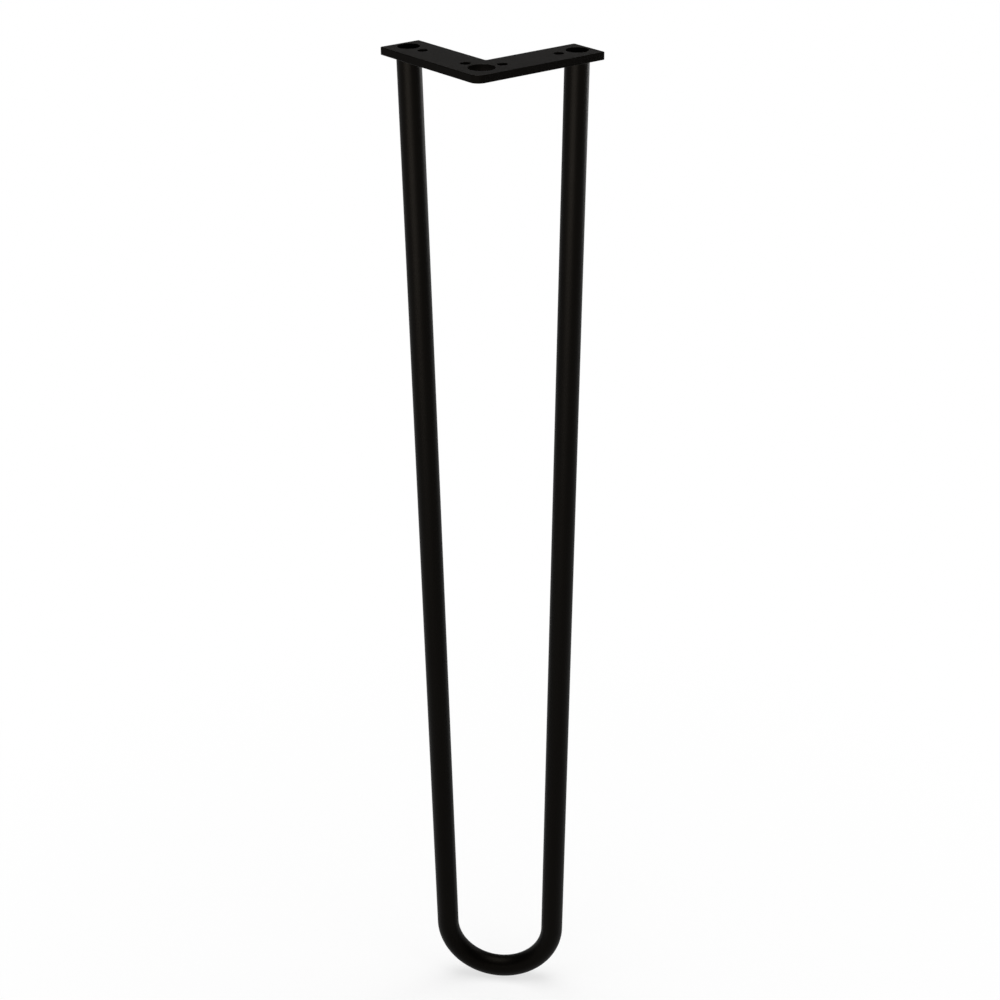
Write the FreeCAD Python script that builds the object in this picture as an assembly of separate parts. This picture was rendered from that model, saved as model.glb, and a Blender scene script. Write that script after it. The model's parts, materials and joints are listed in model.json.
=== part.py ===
# Hairpin table leg: one round steel bar bent to a U, welded by its two ends under
# an L-shaped plate that screws to the underside of a table's corner.
# Sizes are in millimetres. +X runs across the U, +Y from the plate's outer corner
# towards the middle of the table, and +Z up. The origin is on the plate's top
# face, midway between the two inner screw holes, on the leg's mirror plane.
import FreeCAD, Part
import math
import os

# Bar and the U that it is bent to
bar_diameter = 16.0
bend_radius = 40.0             # of the bar's centreline
leg_height = 720.0             # from the plate's top face to the lowest point of the bend

# Plate
arm_length = 100.0             # from the outer corner to the end of an arm
arm_width = 30.0
plate_thickness = 5.0
outer_corner_radius = 6.5
inner_corner_radius = 1.0
arm_end_radius = 1.2
edge_easing = 0.4              # rounding of the plate's outside edges, top and bottom

# Bar ends and the holes above them
bar_end_margin = 2.0           # of plate left beyond the bar, at the end of an arm
bar_seat_width = 0.75          # of the bar's end face that bears on the plate, round the hole

# Corner hole, which would take a third bar
corner_hole_inset = 16.0       # of its centre, from each outer edge
corner_hole_clearance = 0.5    # round such a bar

# Screw holes, two on the centreline of each arm
screw_hole_diameter = 6.5
inner_screw_pitch = 15.0       # from the corner hole, along the arm
outer_screw_pitch = 15.0       # from the bar's hole, along the arm

# Fillet welds round the bar's ends
weld_drop = 2.8                # down the bar
weld_hollow = 0.25             # of the weld's face, at its middle
weld_bite = 0.5                # that the face runs on inside the bar, which trims it

# Places that follow from the sizes
bar_radius = bar_diameter / 2
arm_centre = arm_width / 2
bar_inset = arm_length - bar_end_margin - bar_radius
bar_hole_diameter = bar_diameter - 2 * bar_seat_width
corner_hole_diameter = bar_diameter + 2 * corner_hole_clearance
inner_screw_inset = corner_hole_inset + inner_screw_pitch
outer_screw_inset = bar_inset - outer_screw_pitch
weld_reach = bar_end_margin - edge_easing
underside = -plate_thickness
corner_to_origin = (inner_screw_inset + arm_centre) / math.sqrt(2)
left = -1
right = 1


def on_arm(side, along, across, z=0.0):
    """Point on an arm, by its distance along it from the corner and across it from the outer edge."""
    x = side * (along - across) / math.sqrt(2)
    y = (along + across) / math.sqrt(2) - corner_to_origin
    return FreeCAD.Vector(x, y, z)


def rounded_wire(corners):
    """Closed wire of straight sides and tangent arcs, from the (point, radius) of each corner."""
    arcs = []
    for i, (corner, radius) in enumerate(corners):
        back = (corners[i - 1][0] - corner).normalize()
        ahead = (corners[(i + 1) % len(corners)][0] - corner).normalize()
        half_angle = back.getAngle(ahead) / 2
        setback = radius / math.tan(half_angle)
        inward = (back + ahead).normalize()
        middle = corner + inward * (radius / math.sin(half_angle) - radius)
        arcs.append((corner + back * setback, middle, corner + ahead * setback))
    edges = []
    for i, (start, middle, end) in enumerate(arcs):
        edges.append(Part.Arc(start, middle, end).toShape())
        edges.append(Part.LineSegment(end, arcs[(i + 1) % len(arcs)][0]).toShape())
    return Part.Wire(edges)


def drilled(plate, centre, diameter):
    """Plate with a round hole through it."""
    drill = Part.makeCylinder(diameter / 2, plate_thickness, centre, FreeCAD.Vector(0, 0, -1))
    return plate.cut(drill)


def make_plate():
    """L-shaped plate with a bar hole, a corner hole and screw holes on its arms' centrelines."""
    outline = rounded_wire([
        (on_arm(right, 0, 0), outer_corner_radius),
        (on_arm(right, arm_length, 0), arm_end_radius),
        (on_arm(right, arm_length, arm_width), arm_end_radius),
        (on_arm(right, arm_width, arm_width), inner_corner_radius),
        (on_arm(left, arm_length, arm_width), arm_end_radius),
        (on_arm(left, arm_length, 0), arm_end_radius),
    ])
    plate = Part.Face(outline).extrude(FreeCAD.Vector(0, 0, underside))
    rims = [edge for edge in plate.Edges if edge.BoundBox.ZLength < plate_thickness / 2]
    plate = plate.makeFillet(edge_easing, rims)
    plate = drilled(plate, on_arm(right, corner_hole_inset, corner_hole_inset), corner_hole_diameter)
    for side in (left, right):
        plate = drilled(plate, on_arm(side, bar_inset, arm_centre), bar_hole_diameter)
        for inset in (inner_screw_inset, outer_screw_inset):
            plate = drilled(plate, on_arm(side, inset, arm_centre), screw_hole_diameter)
    return plate


def make_bar():
    """U of round bar in a vertical plane, its legs tangent to the bend and cut level on top."""
    top = on_arm(right, bar_inset, arm_centre, underside)
    bend_centre = FreeCAD.Vector(0, top.y, bar_radius + bend_radius - leg_height)
    height = top.z - bend_centre.z
    slope = math.atan2(top.x, height) + math.acos(bend_radius / math.hypot(top.x, height)) - math.pi / 2

    def bend_point(angle):
        offset = FreeCAD.Vector(math.cos(angle), 0, math.sin(angle)) * bend_radius
        return bend_centre + offset

    def leg_top(side):
        run_on = FreeCAD.Vector(side * math.sin(slope), 0, math.cos(slope)) * bar_diameter
        return FreeCAD.Vector(side * top.x, top.y, top.z) + run_on

    right_foot = bend_point(-slope)
    left_foot = bend_point(math.pi + slope)
    path = Part.Wire([
        Part.LineSegment(leg_top(left), left_foot).toShape(),
        Part.Arc(left_foot, bend_point(-math.pi / 2), right_foot).toShape(),
        Part.LineSegment(right_foot, leg_top(right)).toShape(),
    ])
    section = Part.makeCircle(bar_radius, leg_top(left), left_foot - leg_top(left))
    bar = path.makePipeShell([Part.Wire(section)], True, True)
    waste = Part.makeBox(2 * arm_length, 2 * arm_length, 2 * bar_diameter,
                         FreeCAD.Vector(-arm_length, top.y - arm_length, underside))
    return bar.cut(waste)


def make_weld(side, bar):
    """Hollow-faced fillet weld between the plate's underside and the end of the bar."""
    root = on_arm(side, bar_inset, arm_centre, underside)
    plate_toe = root + FreeCAD.Vector(bar_radius + weld_reach, 0, 0)
    bar_toe = root + FreeCAD.Vector(bar_radius, 0, -weld_drop)
    fall = (bar_toe - plate_toe).normalize()
    inside_end = bar_toe + fall * weld_bite
    hollow = FreeCAD.Vector(fall.z, 0, -fall.x) * weld_hollow
    face_middle = (plate_toe + inside_end) * 0.5 + hollow
    floor = FreeCAD.Vector(root.x, root.y, inside_end.z)
    profile = Part.Wire([
        Part.LineSegment(root, plate_toe).toShape(),
        Part.Arc(plate_toe, face_middle, inside_end).toShape(),
        Part.LineSegment(inside_end, floor).toShape(),
        Part.LineSegment(floor, root).toShape(),
    ])
    collar = Part.Face(profile).revolve(root, FreeCAD.Vector(0, 0, 1), 360)
    return collar.cut(bar)


bar = make_bar()
nodes = {
    "mounting_plate": make_plate(),
    "hairpin_bar": bar,
    "weld_left": make_weld(left, bar),
    "weld_right": make_weld(right, bar),
}

os.makedirs("parts", exist_ok=True)
for name, shape in nodes.items():
    shape.exportStep(f"parts/{name}.step")
    box = shape.optimalBoundingBox()
    print(f"{name}: {len(shape.Solids)} solid, valid {shape.isValid()}, {shape.Volume / 1000:.3f} cm3,",
          f"x {box.XMin:.2f} to {box.XMax:.2f}, y {box.YMin:.2f} to {box.YMax:.2f},",
          f"z {box.ZMin:.2f} to {box.ZMax:.2f}")
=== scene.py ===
import json
import math
import bmesh
import bpy
from mathutils import Matrix, Vector


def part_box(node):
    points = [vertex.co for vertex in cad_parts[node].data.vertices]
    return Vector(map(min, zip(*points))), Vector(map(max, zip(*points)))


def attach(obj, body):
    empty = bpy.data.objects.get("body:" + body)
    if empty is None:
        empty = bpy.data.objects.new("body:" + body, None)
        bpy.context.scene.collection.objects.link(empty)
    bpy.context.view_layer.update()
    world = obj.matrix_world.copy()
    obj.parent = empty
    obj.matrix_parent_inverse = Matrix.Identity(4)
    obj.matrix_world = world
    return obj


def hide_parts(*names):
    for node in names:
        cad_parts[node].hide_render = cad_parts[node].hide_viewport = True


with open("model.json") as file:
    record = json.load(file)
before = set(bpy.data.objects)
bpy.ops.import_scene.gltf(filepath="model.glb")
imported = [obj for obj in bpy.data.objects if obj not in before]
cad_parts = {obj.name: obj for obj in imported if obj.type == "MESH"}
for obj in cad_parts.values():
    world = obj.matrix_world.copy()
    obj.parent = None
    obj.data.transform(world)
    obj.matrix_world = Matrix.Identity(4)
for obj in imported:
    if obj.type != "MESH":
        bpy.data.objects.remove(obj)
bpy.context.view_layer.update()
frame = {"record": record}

# The bar and its bend
bar_radius = 0.008
bend_radius = 0.040
bar_sides = 96
bend_steps = 120
leg_steps = 10
bar_cut_reach = 0.0008         # below the level cut, within which points are brought up to it

# Rounding of the plate's corners in plan, and of its edges under the coat
outer_corner_radius = 0.0065
arm_end_radius = 0.0012
inner_corner_radius = 0.001
plate_edge_rounding = 0.00045
hole_edge_rounding = 0.0003
bar_hole_radius = 0.00725
corner_steps = 14
hole_steps = 72
rounding_steps = 5

# Weld beads
bead_ripples = 27
bead_ripple_height = 0.00016
bead_wander = 0.00022          # of the whole face, in and out
bead_bow = 2.4                 # of a ripple, in ripples, for the square of the share off its middle
bead_unevenness = 0.5          # of the ripples' spacing, in ripples
bead_noise_scale = 260.0
bead_steps = 324
bead_face_steps = 14
bead_root_depth = 0.0002       # that the bead runs into the bar
bead_hollow = 0.3              # pull on the face, as a share of the way from its chord to the root

# The camera
camera_place = (0.16280, -1.21017, 0.29064)
camera_aim = (0.00259, 0.04172, -0.31241)
camera_roll = math.radians(-0.4255)
camera_lens_mm = 72.972
camera_sensor_mm = 36.0
camera_near = 0.01

# The room
floor_reach = 9.0
floor_color = (0.97, 0.97, 0.97, 1.0)
shadow_share = 0.3             # of the painted floor, with its shadow, that is seen at the foot
shadow_reach = 0.6             # from the foot to where the floor is seen as white
white = (1.0, 1.0, 1.0, 1.0)
room_light = 0.17
ceiling_height = 0.31          # as a sine, from where a gloss sees the room at its dimmest
ceiling_color = (0.05, 0.04, 0.03, 1.0)
lamp_spread = math.radians(90)

# The finish
coat_dark = (0.0008, 0.0007, 0.0006, 1.0)
coat_light = (0.0014, 0.0012, 0.0010, 1.0)
coat_tint = (1.0, 0.88, 0.74, 1.0)
coat_specular = 0.045
coat_relief = 0.0001
coat_relief_strength = 0.8
coat_roughness = 0.38
patch_roughness = 0.06         # added by the patches
grain_roughness = 0.05         # added by the grain
peel_share = 0.75              # of the relief, with the grain for the rest

# The coat's noises, each by its scale and its detail
peel_noise = (420.0, 1.0)
grain_noise = (2300.0, 2.0)
patch_noise = (28.0, 3.0)
cut_mark_noise = (1500.0, 1.0)

# The plate's cut sides
cut_side_limit = 0.5           # of the upright part of a side's normal
cut_side_roughness = 0.3       # added on the sides
cut_mark_height = 0.9          # as a share of coat_relief
cut_mark_stretch = (1.0, 1.0, 0.03)


class Field:
    """One output of a node. Sums that are written with it become Math nodes."""

    def __init__(self, graph, socket):
        self.graph = graph
        self.socket = socket

    def __getitem__(self, output):
        return Field(self.graph, self.socket.node.outputs[output])

    def __add__(self, other):
        return self.graph.math("ADD", self, other)

    def __radd__(self, other):
        return self.graph.math("ADD", other, self)

    def __sub__(self, other):
        return self.graph.math("SUBTRACT", self, other)

    def __rsub__(self, other):
        return self.graph.math("SUBTRACT", other, self)

    def __mul__(self, other):
        return self.graph.math("MULTIPLY", self, other)

    def __rmul__(self, other):
        return self.graph.math("MULTIPLY", other, self)

    def __truediv__(self, other):
        return self.graph.math("DIVIDE", self, other)

    def __pow__(self, other):
        return self.graph.math("POWER", self, other)

    def smaller(self, other):
        return self.graph.math("LESS_THAN", self, other)

    def larger(self, other):
        return self.graph.math("GREATER_THAN", self, other)

    def highest(self, other):
        return self.graph.math("MAXIMUM", self, other)


class Graph:
    """A node tree, with one method for Math nodes and one for any other node."""

    def __init__(self, tree):
        self.tree = tree

    def node(self, kind, settings=None, inputs=None, output=0):
        made = self.tree.nodes.new(kind)
        for name, value in (settings or {}).items():
            setattr(made, name, value)
        for name, value in (inputs or {}).items():
            self.feed(made.inputs[name], value)
        return Field(self, made.outputs[output]) if made.outputs else made

    def math(self, operation, *values):
        return self.node("ShaderNodeMath", {"operation": operation}, dict(enumerate(values)))

    def feed(self, socket, value):
        if isinstance(value, Field):
            self.tree.links.new(value.socket, socket)
        else:
            socket.default_value = value


def new_material(name):
    material = bpy.data.materials.new(name)
    material.use_nodes = True
    material.node_tree.nodes.clear()
    return material, Graph(material.node_tree)


def mixed_color(graph, factor, first, second):
    """Colour between two. A Mix node has its colours on inputs 6 and 7 and on output 2."""
    return graph.node("ShaderNodeMix", {"data_type": "RGBA"}, {
        "Factor": factor, 6: first, 7: second}, output=2)


def powder_coat(name, cut_sides=False):
    """Satin black powder coat on steel: a fine grain over a shallow orange peel."""
    material, graph = new_material(name)
    place = graph.node("ShaderNodeTexCoord", output="Object")

    def noise(scale, detail, where=place):
        return graph.node("ShaderNodeTexNoise", inputs={
            "Vector": where, "Scale": scale, "Detail": detail})

    peel = noise(*peel_noise)
    grain = noise(*grain_noise)
    patches = noise(*patch_noise)
    height = peel * peel_share + grain * (1 - peel_share)
    roughness = coat_roughness + patches * patch_roughness + grain * grain_roughness
    if cut_sides:
        facing = graph.node("ShaderNodeNewGeometry", output="Normal")
        upward = graph.node("ShaderNodeSeparateXYZ", inputs={0: facing})["Z"]
        on_side = graph.math("ABSOLUTE", upward).smaller(cut_side_limit)
        drawn_out = graph.node("ShaderNodeMapping", inputs={"Vector": place, "Scale": cut_mark_stretch})
        height = height + noise(*cut_mark_noise, drawn_out) * on_side * cut_mark_height
        roughness = roughness + on_side * cut_side_roughness
    color = mixed_color(graph, patches, coat_dark, coat_light)
    relief = graph.node("ShaderNodeBump", inputs={
        "Strength": coat_relief_strength, "Distance": coat_relief, "Height": height})
    surface = graph.node("ShaderNodeBsdfPrincipled", inputs={
        "Base Color": color,
        "Roughness": roughness,
        "Specular IOR Level": coat_specular,
        "Specular Tint": coat_tint,
        "Normal": relief})
    graph.node("ShaderNodeOutputMaterial", inputs={"Surface": surface})
    return material


def plain_mesh(name, vertices, faces, normals=None):
    """Smooth mesh object at the origin, with the normals of its vertices where they are given."""
    mesh = bpy.data.meshes.new(name)
    mesh.from_pydata(vertices, [], faces)
    mesh.validate()
    mesh.shade_smooth()
    if normals:
        mesh.normals_split_custom_set_from_vertices(normals)
    piece = bpy.data.objects.new(name, mesh)
    bpy.context.scene.collection.objects.link(piece)
    return piece


def new_tree(name, sizes):
    """Geometry tree with the named number inputs, and the graph that fills it."""
    tree = bpy.data.node_groups.new(name, "GeometryNodeTree")
    tree.interface.new_socket("Geometry", in_out="INPUT", socket_type="NodeSocketGeometry")
    tree.interface.new_socket("Geometry", in_out="OUTPUT", socket_type="NodeSocketGeometry")
    for size, kind in sizes.items():
        tree.interface.new_socket(size, in_out="INPUT", socket_type=kind)
    graph = Graph(tree)
    return graph, graph.node("NodeGroupInput")


def end_tree(graph, shape, material):
    """Finish of every tree: smooth, real geometry in its material."""
    smooth = graph.node("GeometryNodeSetShadeSmooth", inputs={"Geometry": shape})
    real = graph.node("GeometryNodeRealizeInstances", inputs={"Geometry": smooth})
    coated = graph.node("GeometryNodeSetMaterial", inputs={"Geometry": real, "Material": material})
    graph.node("NodeGroupOutput", inputs={"Geometry": coated})


def grown(source, graph, values, name):
    """Plain mesh object that a tree makes from a source object, which is then removed."""
    modifier = source.modifiers.new(name, "NODES")
    modifier.node_group = graph.tree
    for item in graph.tree.interface.items_tree:
        if item.in_out == "INPUT" and item.name in values:
            modifier[item.identifier] = values[item.name]
    depsgraph = bpy.context.evaluated_depsgraph_get()
    mesh = bpy.data.meshes.new_from_object(source.evaluated_get(depsgraph))
    mesh.name = name
    source.modifiers.remove(modifier)
    bpy.data.objects.remove(source)
    piece = bpy.data.objects.new(name, mesh)
    bpy.context.scene.collection.objects.link(piece)
    return piece


def centre_of(node):
    """Middle of the box of a CAD node."""
    low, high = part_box(node)
    return (low + high) / 2


# The bar

def bar_tree(material):
    """Round bar along a path, with its two ends cut level."""
    graph, sizes = new_tree("round_bar", {
        "Bar radius": "NodeSocketFloat", "Sides": "NodeSocketInt",
        "Level": "NodeSocketFloat", "Cut reach": "NodeSocketFloat"})
    path = graph.node("GeometryNodeMeshToCurve", inputs={"Mesh": sizes["Geometry"]})
    section = graph.node("GeometryNodeCurvePrimitiveCircle", {"mode": "RADIUS"}, {
        "Resolution": sizes["Sides"], "Radius": sizes["Bar radius"]})
    bar = graph.node("GeometryNodeCurveToMesh", inputs={
        "Curve": path, "Profile Curve": section, "Fill Caps": True})
    position = graph.node("GeometryNodeInputPosition")
    axes = graph.node("ShaderNodeSeparateXYZ", inputs={0: position})
    end = axes["Z"].larger(sizes["Level"] - sizes["Cut reach"])
    level = graph.node("ShaderNodeCombineXYZ", inputs={
        "X": axes["X"], "Y": axes["Y"], "Z": sizes["Level"]})
    cut = graph.node("GeometryNodeSetPosition", inputs={
        "Geometry": bar, "Selection": end, "Position": level})
    end_tree(graph, cut, material)
    return graph


def bent_bar(material):
    """The U: two straight legs tangent to a round bend, in one vertical plane."""
    bar_low, bar_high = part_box("hairpin_bar")
    top = centre_of("weld_right")
    top.z = bar_high.z
    centre = Vector((0.0, top.y, bar_low.z + bar_radius + bend_radius))
    rise = top.z - centre.z
    slope = math.atan2(top.x, rise) + math.acos(bend_radius / math.hypot(top.x, rise)) - math.pi / 2

    def bend_point(angle):
        return centre + Vector((math.cos(angle), 0.0, math.sin(angle))) * bend_radius

    right_leg = [top.lerp(bend_point(-slope), i / leg_steps) for i in range(leg_steps)]
    turn = math.pi - 2 * slope
    bend = [bend_point(-slope - turn * i / bend_steps) for i in range(bend_steps + 1)]
    left_leg = [Vector((-p.x, p.y, p.z)) for p in reversed(right_leg)]
    points = right_leg + bend + left_leg
    path = plain_mesh("bar_path", points, [])
    path.data.edges.add(len(points) - 1)
    for i, edge in enumerate(path.data.edges):
        edge.vertices = (i, i + 1)
    return grown(path, bar_tree(material), {
        "Bar radius": bar_radius, "Sides": bar_sides,
        "Level": top.z, "Cut reach": bar_cut_reach}, "bent_bar")


# The plate

def plate_outline():
    """Corners of the L, each as its sharp point and the radius of its rounding."""
    low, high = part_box("mounting_plate")
    point_share = math.sqrt(2) - 1      # of its radius, by which a rounded corner's sharp point stands out
    tip = high.x + arm_end_radius * point_share
    corner = low.y - outer_corner_radius * point_share
    length = tip * math.sqrt(2)
    width = (high.y + arm_end_radius * point_share - corner) * math.sqrt(2) - length

    def on_arm(side, along, across):
        return Vector((side * (along - across), along + across)) / math.sqrt(2) + Vector((0.0, corner))

    return [
        (on_arm(1, 0.0, 0.0), outer_corner_radius),
        (on_arm(1, length, 0.0), arm_end_radius),
        (on_arm(1, length, width), arm_end_radius),
        (on_arm(1, width, width), inner_corner_radius),
        (on_arm(-1, length, width), arm_end_radius),
        (on_arm(-1, length, 0.0), arm_end_radius),
    ]


def rounded_rim(corners):
    """Points of a closed outline that runs anticlockwise, each with its outward normal in plan."""
    rim = []
    for i, (corner, radius) in enumerate(corners):
        arriving = (corner - corners[i - 1][0]).normalized()
        leaving = (corners[(i + 1) % len(corners)][0] - corner).normalized()
        turn = math.atan2(arriving.cross(leaving), arriving.dot(leaving))
        setback = radius * math.tan(abs(turn) / 2)
        bulge = math.copysign(1.0, turn)
        first_normal = Vector((arriving.y, -arriving.x))
        middle = corner - arriving * setback - first_normal * radius * bulge
        for step in range(corner_steps + 1):
            normal = first_normal.copy()
            normal.rotate(Matrix.Rotation(turn * step / corner_steps, 2))
            rim.append((middle + normal * radius * bulge, normal))
    return rim


def hole_rim(centre, radius):
    """Points of a round hole, clockwise, each with the normal that points into the hole."""
    rim = []
    for step in range(hole_steps):
        angle = -2 * math.pi * step / hole_steps
        spoke = Vector((math.cos(angle), math.sin(angle)))
        rim.append((centre + spoke * radius, -spoke))
    return rim


def plate_holes():
    """Centre and radius of each hole: over the bar's ends, at the corner, and for the screws."""
    holes = []
    for node in ("weld_left", "weld_right"):
        holes.append((centre_of(node).to_2d(), bar_hole_radius))
    for mount in frame["record"]["mounts"]:
        sizes = mount["dims"]
        centre = Vector(mount["pos_m"]).to_2d()
        if mount["kind"] == "bore":
            holes.append((centre, sizes["r_mm"] / 1000))
        if mount["kind"] == "bolt_pattern":
            for side in (-1, 1):
                reach = Vector((side * sizes["spacing_x_mm"] / 2000, 0.0))
                holes.append((centre + reach, sizes["hole_r_mm"] / 1000))
    return holes


def plate_wall(rim, rounding, thickness):
    """Rings of points down one edge of the plate, rounded at top and bottom, with their normals."""
    tilts = [math.pi / 2 * step / rounding_steps for step in range(rounding_steps + 1)]
    rings = [(tilt, -rounding + rounding * math.cos(tilt)) for tilt in tilts]
    rings += [(math.pi - tilt, -thickness - z) for tilt, z in reversed(rings)]
    points, normals = [], []
    for tilt, z in rings:
        inset = rounding * (1 - math.sin(tilt))
        for place, out in rim:
            level = place - out * inset
            points.append((level.x, level.y, z))
            normals.append((out.x * math.sin(tilt), out.y * math.sin(tilt), math.cos(tilt)))
    return points, normals, len(rings)


def corner_plate(material):
    """L-shaped plate with softened edges, its rims joined by flat faces above and below."""
    low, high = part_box("mounting_plate")
    rims = [(rounded_rim(plate_outline()), plate_edge_rounding)]
    rims += [(hole_rim(*hole), hole_edge_rounding) for hole in plate_holes()]
    vertices, normals, faces, caps = [], [], [], ([], [])
    for rim, rounding in rims:
        points, directions, rings = plate_wall(rim, rounding, high.z - low.z)
        start, around = len(vertices), len(rim)
        vertices += points
        normals += directions
        for ring in range(rings - 1):
            for i in range(around):
                j = (i + 1) % around
                upper = start + ring * around
                lower = upper + around
                faces.append((upper + i, lower + i, lower + j, upper + j))
        caps[0].append([start + i for i in range(around)])
        caps[1].append([start + (rings - 1) * around + i for i in range(around)])
    for loops, up in zip(caps, (True, False)):
        faces += flat_face(vertices, loops, up)
    plate = plain_mesh("corner_plate", vertices, faces, normals)
    plate.data.materials.append(material)
    return plate


def flat_face(vertices, loops, up):
    """Triangles between an outline and the holes in it, all facing up or down."""
    sheet = bmesh.new()
    edges, index = [], {}
    for loop in loops:
        made = [sheet.verts.new(vertices[i]) for i in loop]
        index.update(zip(made, loop))
        edges += [sheet.edges.new((made[k - 1], made[k])) for k in range(len(made))]
    filled = bmesh.ops.triangle_fill(sheet, edges=edges, use_beauty=True, normal=(0, 0, 1))
    triangles = []
    for face in filled["geom"]:
        if isinstance(face, bmesh.types.BMFace):
            face.normal_update()
            ring = [index[v] for v in face.verts]
            triangles.append(ring if (face.normal.z > 0) == up else ring[::-1])
    sheet.free()
    return triangles


# The welds

def bead_tree(material):
    """Overlapping ripples round a bead, each bowed towards the way the weld was run."""
    graph, sizes = new_tree("weld_bead", {
        "Ripples": "NodeSocketFloat", "Ripple height": "NodeSocketFloat",
        "Wander": "NodeSocketFloat", "Centre": "NodeSocketVector", "Seed": "NodeSocketFloat"})
    position = graph.node("GeometryNodeInputPosition")
    local = graph.node("ShaderNodeVectorMath", {"operation": "SUBTRACT"}, {0: position, 1: sizes["Centre"]})
    axes = graph.node("ShaderNodeSeparateXYZ", inputs={0: local})
    across = graph.node("GeometryNodeInputNamedAttribute", {"data_type": "FLOAT"}, {"Name": "across"})
    angle = graph.math("ARCTAN2", axes["Y"], axes["X"])
    jitter = graph.node("ShaderNodeTexNoise", {"noise_dimensions": "4D"}, {
        "Vector": local, "W": sizes["Seed"], "Scale": bead_noise_scale, "Detail": 1.0})
    bow = (across - 0.5) ** 2 * bead_bow
    turns = angle * sizes["Ripples"] / (2 * math.pi) + bow + jitter * bead_unevenness
    phase = graph.math("FRACT", turns)
    crest = graph.math("SINE", phase * math.pi)
    fade = graph.math("SINE", across * math.pi)
    lift = crest * sizes["Ripple height"] * fade + (jitter - 0.5) * sizes["Wander"] * fade
    normal = graph.node("GeometryNodeInputNormal")
    offset = graph.node("ShaderNodeVectorMath", {"operation": "SCALE"}, {0: normal, "Scale": lift})
    moved = graph.node("GeometryNodeSetPosition", inputs={"Geometry": sizes["Geometry"], "Offset": offset})
    end_tree(graph, moved, material)
    return graph


def weld_bead(node, name, seed, material):
    """Fillet weld round one end of the bar, under the plate."""
    low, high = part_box(node)
    centre = (low + high) / 2
    reach = (high.x - low.x) / 2 - bar_radius
    drop = high.z - low.z
    plate_toe = Vector((bar_radius + reach, 0.0))
    bar_toe = Vector((bar_radius, -drop))
    root = Vector((bar_radius, 0.0))
    pull = plate_toe.lerp(bar_toe, 0.5).lerp(root, bead_hollow)
    section = []
    for step in range(bead_face_steps + 1):
        t = step / bead_face_steps
        on_face = plate_toe * (1 - t) ** 2 + pull * 2 * t * (1 - t) + bar_toe * t ** 2
        section.append((on_face, t))
    section.append((Vector((bar_radius - bead_root_depth, -drop)), 0.0))
    section.append((Vector((bar_radius - bead_root_depth, 0.0)), 0.0))
    vertices, faces, across = [], [], []
    for turn in range(bead_steps):
        angle = 2 * math.pi * turn / bead_steps
        for place, share in section:
            vertices.append((centre.x + place.x * math.cos(angle),
                             centre.y + place.x * math.sin(angle), high.z + place.y))
            across.append(share)
    count = len(section)
    for turn in range(bead_steps):
        here = turn * count
        there = (turn + 1) % bead_steps * count
        for i in range(count):
            j = (i + 1) % count
            faces.append((here + i, here + j, there + j, there + i))
    ring = plain_mesh(name + "_ring", vertices, faces)
    attribute = ring.data.attributes.new("across", "FLOAT", "POINT")
    attribute.data.foreach_set("value", across)
    return grown(ring, bead_tree(material), {
        "Ripples": float(bead_ripples), "Ripple height": bead_ripple_height,
        "Wander": bead_wander, "Centre": (centre.x, centre.y, high.z), "Seed": seed}, name)


# The room

def seen_rays(graph):
    """One for what the camera sees, straight or in a gloss or glass, and nought for light."""
    rays = graph.node("ShaderNodeLightPath")
    return rays["Is Camera Ray"].highest(rays["Is Glossy Ray"]).highest(rays["Is Transmission Ray"])


def make_floor():
    """Pale floor under the bend, seen as white but for the shadow round the foot, and clear from below."""
    foot = centre_of("hairpin_bar")
    foot.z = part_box("hairpin_bar")[0].z
    corners = [(x * floor_reach, y * floor_reach, foot.z) for x, y in ((-1, -1), (1, -1), (1, 1), (-1, 1))]
    floor = plain_mesh("floor", corners, [(0, 1, 2, 3)])
    material, graph = new_material("pale_floor")
    place = graph.node("ShaderNodeTexCoord", output="Object")
    away = graph.node("ShaderNodeVectorMath", {"operation": "DISTANCE"}, {0: place, 1: foot}, output="Value")
    nearness = graph.node("ShaderNodeMapRange", {"interpolation_type": "SMOOTHSTEP"}, {
        "Value": away, "From Max": shadow_reach, "To Min": 1.0, "To Max": 0.0})
    paint = graph.node("ShaderNodeBsdfDiffuse", inputs={"Color": floor_color})
    glow = graph.node("ShaderNodeEmission", inputs={"Color": white, "Strength": 1.0})
    share = seen_rays(graph) * (1.0 - nearness * shadow_share)
    above = graph.node("ShaderNodeMixShader", inputs={0: share, 1: paint, 2: glow})
    below = graph.node("ShaderNodeNewGeometry", output="Backfacing")
    clear = graph.node("ShaderNodeBsdfTransparent")
    one_sided = graph.node("ShaderNodeMixShader", inputs={0: below, 1: above, 2: clear})
    graph.node("ShaderNodeOutputMaterial", inputs={"Surface": one_sided})
    floor.data.materials.append(material)


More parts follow.
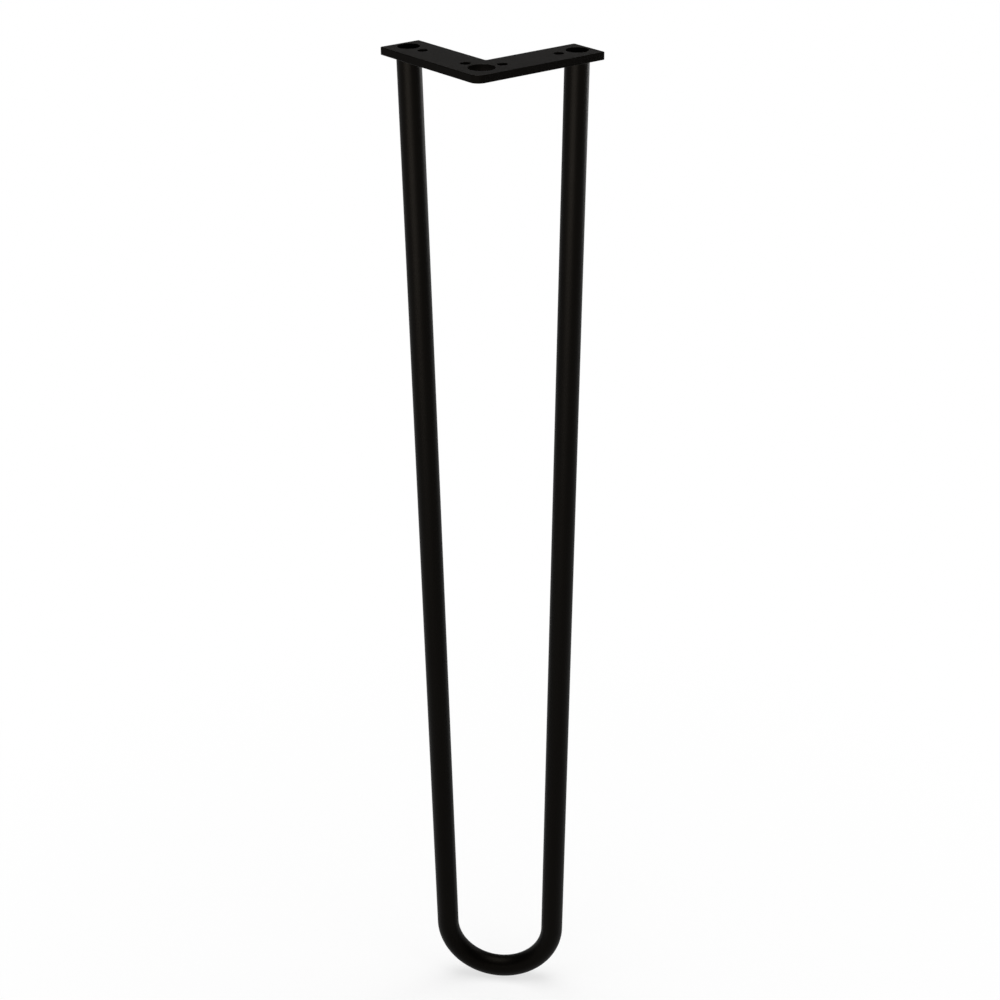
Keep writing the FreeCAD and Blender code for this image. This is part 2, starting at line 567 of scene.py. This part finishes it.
def make_world():
    """Even soft light from all round, seen as white. A gloss sees it dim towards the ceiling."""
    world = bpy.data.worlds.new("soft_room")
    bpy.context.scene.world = world
    world.use_nodes = True
    world.node_tree.nodes.clear()
    graph = Graph(world.node_tree)
    away = graph.node("ShaderNodeTexCoord", output="Generated")
    height = graph.node("ShaderNodeSeparateXYZ", inputs={0: away})["Z"]
    rise = graph.node("ShaderNodeMapRange", {"interpolation_type": "SMOOTHSTEP"}, {
        "Value": height, "From Max": ceiling_height})
    straight = graph.node("ShaderNodeLightPath", output="Is Camera Ray")
    wall = mixed_color(graph, rise * (1.0 - straight), white, ceiling_color)
    light = graph.node("ShaderNodeBackground", inputs={"Color": white, "Strength": room_light})
    backdrop = graph.node("ShaderNodeBackground", inputs={"Color": wall, "Strength": 1.0})
    mixed = graph.node("ShaderNodeMixShader", inputs={0: seen_rays(graph), 1: light, 2: backdrop})
    graph.node("ShaderNodeOutputWorld", inputs={"Surface": mixed})


def soft_light(name, place, aim, width, height, power):
    """Softbox at a place, turned to its aim."""
    lamp = bpy.data.lights.new(name, "AREA")
    lamp.spread = lamp_spread
    lamp.shape = "RECTANGLE"
    lamp.size = width
    lamp.size_y = height
    lamp.energy = power
    light = bpy.data.objects.new(name, lamp)
    light.location = place
    light.rotation_euler = (Vector(aim) - Vector(place)).to_track_quat("-Z", "Y").to_euler()
    bpy.context.scene.collection.objects.link(light)


def make_camera():
    """The photograph's viewpoint, above and outside the table's corner."""
    lens = bpy.data.cameras.new("camera")
    lens.sensor_width = camera_sensor_mm
    lens.lens = camera_lens_mm
    lens.clip_start = camera_near
    camera = bpy.data.objects.new("camera", lens)
    sight = Vector(camera_aim) - Vector(camera_place)
    turned = sight.to_track_quat("-Z", "Y").to_matrix() @ Matrix.Rotation(camera_roll, 3, "Z")
    camera.matrix_world = Matrix.Translation(camera_place) @ turned.to_4x4()
    bpy.context.scene.collection.objects.link(camera)
    bpy.context.scene.camera = camera


def dress(piece, node):
    """Attaches a finished piece to the root body and hides the CAD node that it stands for."""
    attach(piece, "root")
    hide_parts(node)


make_camera()
make_world()
make_floor()
soft_light("overhead_softbox", place=(0.0, 0.3, 3.0), aim=(0.0, 0.0, -0.4),
           width=3.0, height=3.0, power=37.0)
soft_light("front_softbox", place=(-0.23, -0.95, -0.25), aim=(0.0, 0.04, 0.0),
           width=0.9, height=0.4, power=2.65)
soft_light("back_softbox", place=(0.8, 0.8, -0.16), aim=(0.0, 0.04, -0.1),
           width=0.5, height=0.4, power=1.2)

dress(bent_bar(powder_coat("bar_coat")), "hairpin_bar")
dress(corner_plate(powder_coat("plate_coat", cut_sides=True)), "mounting_plate")
bead_coat = powder_coat("bead_coat")
dress(weld_bead("weld_left", "weld_bead_left", 3.0, bead_coat), "weld_left")
dress(weld_bead("weld_right", "weld_bead_right", 8.0, bead_coat), "weld_right")

bpy.context.scene.view_settings.view_transform = "Standard"
